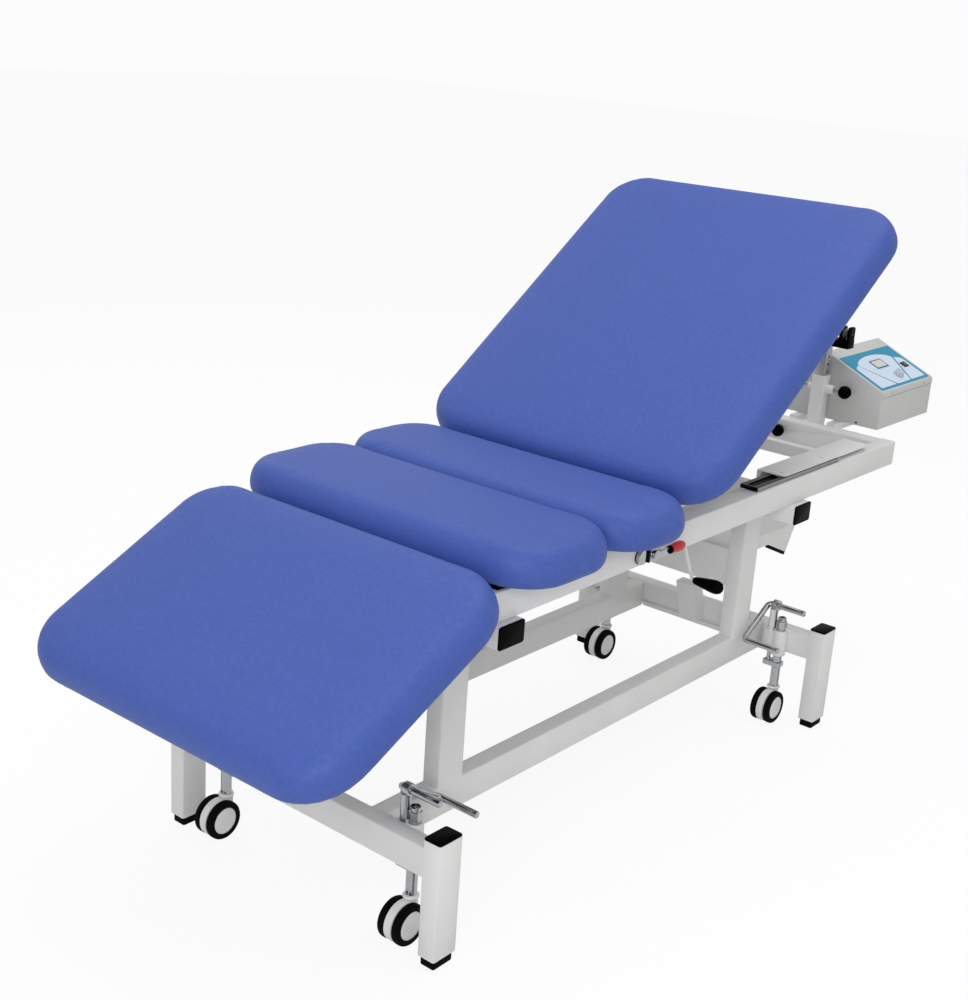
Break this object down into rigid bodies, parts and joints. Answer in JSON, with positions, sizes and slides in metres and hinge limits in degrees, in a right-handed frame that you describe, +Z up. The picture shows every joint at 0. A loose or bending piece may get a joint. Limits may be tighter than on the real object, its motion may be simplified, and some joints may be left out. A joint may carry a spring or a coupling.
{
  "type": "traction table",
  "caption": "Wheeled traction table: padded sections with tilting back and drop leg rest on a white tube frame, lever-jacked castors, pulley mast and control console at the head.",
  "frame": {"origin": "on the floor, at the middle of the overall length and width", "axes": "+X along the table toward the head end, +Y across it to the far side, +Z up"},
  "size_m": [2.42, 0.776, 1.2456],
  "materials": {
    "black_plastic": "moulded black plastic",
    "rubber": "matt black rubber",
    "vinyl": "fine-grained blue vinyl",
    "chrome": "bright chrome plate",
    "grey_plastic": "moulded grey plastic",
    "red_plastic": "moulded red plastic",
    "powder_coat": "satin white powder coat",
    "zinc": "dull bright-zinc plate"
  },
  "bodies": {
    "base": {"console_case": "powder_coat", "cross_tube_cap_far_foot": "black_plastic", "cross_tube_cap_far_head": "black_plastic", "cross_tube_cap_near_foot": "black_plastic", "cross_tube_cap_near_head": "black_plastic", "cross_tube_foot": "powder_coat", "cross_tube_head": "powder_coat", "foot_end_frame": "powder_coat", "foot_pad_far_foot": "rubber", "foot_pad_far_head": "rubber", "foot_pad_near_foot": "rubber", "foot_pad_near_head": "rubber", "head_bracket": "powder_coat", "head_end_frame": "powder_coat", "leg_cap_far_foot": "black_plastic", "leg_cap_far_head": "black_plastic", "leg_cap_near_foot": "black_plastic", "leg_cap_near_head": "black_plastic", "lock_clamp": "chrome", "seat_cushion": "vinyl", "side_frame_far": "powder_coat", "side_frame_near": "powder_coat", "slide_channel_far": "black_plastic", "slide_channel_near": "black_plastic", "thigh_cushion": "vinyl", "upper_frame": "powder_coat"},
    "carriage": {"carriage": "powder_coat"},
    "back_section": {"backrest_frame": "powder_coat", "backrest_cushion": "vinyl"},
    "back_spring_cylinder_body": {"back_spring_cylinder": "black_plastic"},
    "back_spring_rod_body": {"back_spring_rod": "chrome"},
    "leg_section": {"legrest_frame": "powder_coat", "legrest_cushion": "vinyl"},
    "leg_spring_cylinder_body": {"leg_spring_cylinder": "black_plastic"},
    "leg_spring_rod_body": {"leg_spring_rod": "chrome"},
    "lift_near_foot": {"castor_stem_near_foot": "chrome"},
    "swivel_near_foot": {"castor_hood_near_foot": "powder_coat"},
    "wheels_near_foot": {"castor_wheels_near_foot": "rubber"},
    "lever_near_foot": {"jack_lever_near_foot": "chrome"},
    "lift_far_foot": {"castor_stem_far_foot": "chrome"},
    "swivel_far_foot": {"castor_hood_far_foot": "powder_coat"},
    "wheels_far_foot": {"castor_wheels_far_foot": "rubber"},
    "lever_far_foot": {"jack_lever_far_foot": "chrome"},
    "lift_near_head": {"castor_stem_near_head": "chrome"},
    "swivel_near_head": {"castor_hood_near_head": "powder_coat"},
    "wheels_near_head": {"castor_wheels_near_head": "rubber"},
    "lever_near_head": {"jack_lever_near_head": "chrome"},
    "lift_far_head": {"castor_stem_far_head": "chrome"},
    "swivel_far_head": {"castor_hood_far_head": "powder_coat"},
    "wheels_far_head": {"castor_wheels_far_head": "rubber"},
    "lever_far_head": {"jack_lever_far_head": "chrome"},
    "mast": {"mast_tube": "zinc", "pulley_head": "black_plastic"},
    "sheave": {"pulley_sheave": "grey_plastic"},
    "plunger": {"mast_plunger": "black_plastic"},
    "rail_knob": {"head_rail_knob": "black_plastic"},
    "dial": {"control_knob": "grey_plastic"},
    "rocker": {"power_switch": "red_plastic"},
    "clamp_lever": {"lock_lever": "red_plastic"},
    "release": {"release_lever": "black_plastic"}
  },
  "joints": [
    {"name": "carriage_slide", "type": "slide", "parent": "base", "child": "carriage", "axis": [1, 0, 0], "range_m": [0, 0.07]},
    {"name": "backrest_tilt", "type": "hinge", "parent": "carriage", "child": "back_section", "pos_m": [-0.152, 0, 0.64], "axis": [0, -1, 0], "range_deg": [-35.2, 10]},
    {"name": "back_cylinder_turn", "type": "hinge", "parent": "carriage", "child": "back_spring_cylinder_body", "pos_m": [-0.123, 0, 0.545], "axis": [0, -1, 0], "range_deg": [-34, 10]},
    {"name": "back_rod_slide", "type": "slide", "parent": "back_spring_cylinder_body", "child": "back_spring_rod_body", "axis": [0.7073, 0, 0.7069], "range_m": [-0.06, 0.03]},
    {"name": "legrest_tilt", "type": "hinge", "parent": "base", "child": "leg_section", "pos_m": [-0.711, 0, 0.64], "axis": [0, -1, 0], "range_deg": [-27, 20]},
    {"name": "leg_cylinder_turn", "type": "hinge", "parent": "base", "child": "leg_spring_cylinder_body", "pos_m": [-0.72, 0, 0.56], "axis": [0, -1, 0], "range_deg": [-30, 23]},
    {"name": "leg_rod_slide", "type": "slide", "parent": "leg_spring_cylinder_body", "child": "leg_spring_rod_body", "axis": [-0.9394, 0, -0.3429], "range_m": [-0.03, 0.04]},
    {"name": "castor_lift_near_foot", "type": "slide", "parent": "base", "child": "lift_near_foot", "axis": [0, 0, 1], "range_m": [-0.008, 0.016]},
    {"name": "jack_lever_turn_near_foot", "type": "hinge", "parent": "base", "child": "lever_near_foot", "pos_m": [-0.826, -0.253, 0.292], "axis": [0, -1, 0], "range_deg": [-16.5, 32.5]},
    {"name": "castor_swivel_near_foot", "type": "hinge", "parent": "lift_near_foot", "child": "swivel_near_foot", "pos_m": [-0.826, -0.253, 0.0885], "axis": [0, 0, 1], "continuous": true},
    {"name": "wheel_spin_near_foot", "type": "hinge", "parent": "swivel_near_foot", "child": "wheels_near_foot", "pos_m": [-0.848, -0.253, 0.041], "axis": [0, 1, 0], "continuous": true},
    {"name": "castor_lift_far_foot", "type": "slide", "parent": "base", "child": "lift_far_foot", "axis": [0, 0, 1], "range_m": [-0.008, 0.016]},
    {"name": "jack_lever_turn_far_foot", "type": "hinge", "parent": "base", "child": "lever_far_foot", "pos_m": [-0.826, 0.253, 0.292], "axis": [0, -1, 0], "range_deg": [-16.5, 32.5]},
    {"name": "castor_swivel_far_foot", "type": "hinge", "parent": "lift_far_foot", "child": "swivel_far_foot", "pos_m": [-0.826, 0.253, 0.0885], "axis": [0, 0, 1], "continuous": true},
    {"name": "wheel_spin_far_foot", "type": "hinge", "parent": "swivel_far_foot", "child": "wheels_far_foot", "pos_m": [-0.848, 0.253, 0.041], "axis": [0, 1, 0], "continuous": true},
    {"name": "castor_lift_near_head", "type": "slide", "parent": "base", "child": "lift_near_head", "axis": [0, 0, 1], "range_m": [-0.008, 0.016]},
    {"name": "jack_lever_turn_near_head", "type": "hinge", "parent": "base", "child": "lever_near_head", "pos_m": [0.482, -0.253, 0.292], "axis": [0, 1, 0], "range_deg": [-16.5, 32.5]},
    {"name": "castor_swivel_near_head", "type": "hinge", "parent": "lift_near_head", "child": "swivel_near_head", "pos_m": [0.482, -0.253, 0.0885], "axis": [0, 0, 1], "continuous": true},
    {"name": "wheel_spin_near_head", "type": "hinge", "parent": "swivel_near_head", "child": "wheels_near_head", "pos_m": [0.46, -0.253, 0.041], "axis": [0, 1, 0], "continuous": true},
    {"name": "castor_lift_far_head", "type": "slide", "parent": "base", "child": "lift_far_head", "axis": [0, 0, 1], "range_m": [-0.008, 0.016]},
    {"name": "jack_lever_turn_far_head", "type": "hinge", "parent": "base", "child": "lever_far_head", "pos_m": [0.482, 0.253, 0.292], "axis": [0, 1, 0], "range_deg": [-16.5, 32.5]},
    {"name": "castor_swivel_far_head", "type": "hinge", "parent": "lift_far_head", "child": "swivel_far_head", "pos_m": [0.482, 0.253, 0.0885], "axis": [0, 0, 1], "continuous": true},
    {"name": "wheel_spin_far_head", "type": "hinge", "parent": "swivel_far_head", "child": "wheels_far_head", "pos_m": [0.46, 0.253, 0.041], "axis": [0, 1, 0], "continuous": true},
    {"name": "mast_height", "type": "slide", "parent": "base", "child": "mast", "axis": [0, 0, 1], "range_m": [-0.06, 0.08]},
    {"name": "sheave_spin", "type": "hinge", "parent": "mast", "child": "sheave", "pos_m": [0.8886, -0.1215, 0.891], "axis": [0, 1, 0], "continuous": true},
    {"name": "plunger_pull", "type": "slide", "parent": "base", "child": "plunger", "axis": [0, -1, 0], "range_m": [0, 0.01], "stiffness_N_per_m": 400, "springref_m": -0.004},
    {"name": "rail_knob_turn", "type": "hinge", "parent": "base", "child": "rail_knob", "pos_m": [0.83, 0, 0.622], "axis": [1, 0, 0], "continuous": true},
    {"name": "dial_turn", "type": "hinge", "parent": "base", "child": "dial", "pos_m": [1.073, -0.19257, 0.77273], "axis": [0, -0.4081, 0.9129], "range_deg": [-140, 140]},
    {"name": "rocker_tip", "type": "hinge", "parent": "base", "child": "rocker", "pos_m": [1.16, -0.16701, 0.78416], "axis": [0, 0.9129, 0.4081], "range_deg": [-6, 6]},
    {"name": "clamp_lever_swing", "type": "hinge", "parent": "base", "child": "clamp_lever", "pos_m": [-0.223, -0.3185, 0.614], "axis": [0, 1, 0], "range_deg": [0, 90]},
    {"name": "release_lift", "type": "hinge", "parent": "carriage", "child": "release", "pos_m": [0, -0.238, 0.582], "axis": [0, -1, 0], "range_deg": [0, 20]}
  ],
  "couplings": [
    {"joint": "back_cylinder_turn", "follows": "backrest_tilt", "ratio": 0.93},
    {"joint": "back_rod_slide", "follows": "backrest_tilt", "m_per_rad": 0.092},
    {"joint": "leg_cylinder_turn", "follows": "legrest_tilt", "ratio": 1.1},
    {"joint": "leg_rod_slide", "follows": "legrest_tilt", "m_per_rad": -0.071},
    {"joint": "jack_lever_turn_near_foot", "follows": "castor_lift_near_foot", "rad_per_m": 34.9},
    {"joint": "jack_lever_turn_far_foot", "follows": "castor_lift_far_foot", "rad_per_m": 34.9},
    {"joint": "jack_lever_turn_near_head", "follows": "castor_lift_near_head", "rad_per_m": 34.9},
    {"joint": "jack_lever_turn_far_head", "follows": "castor_lift_far_head", "rad_per_m": 34.9}
  ]
}
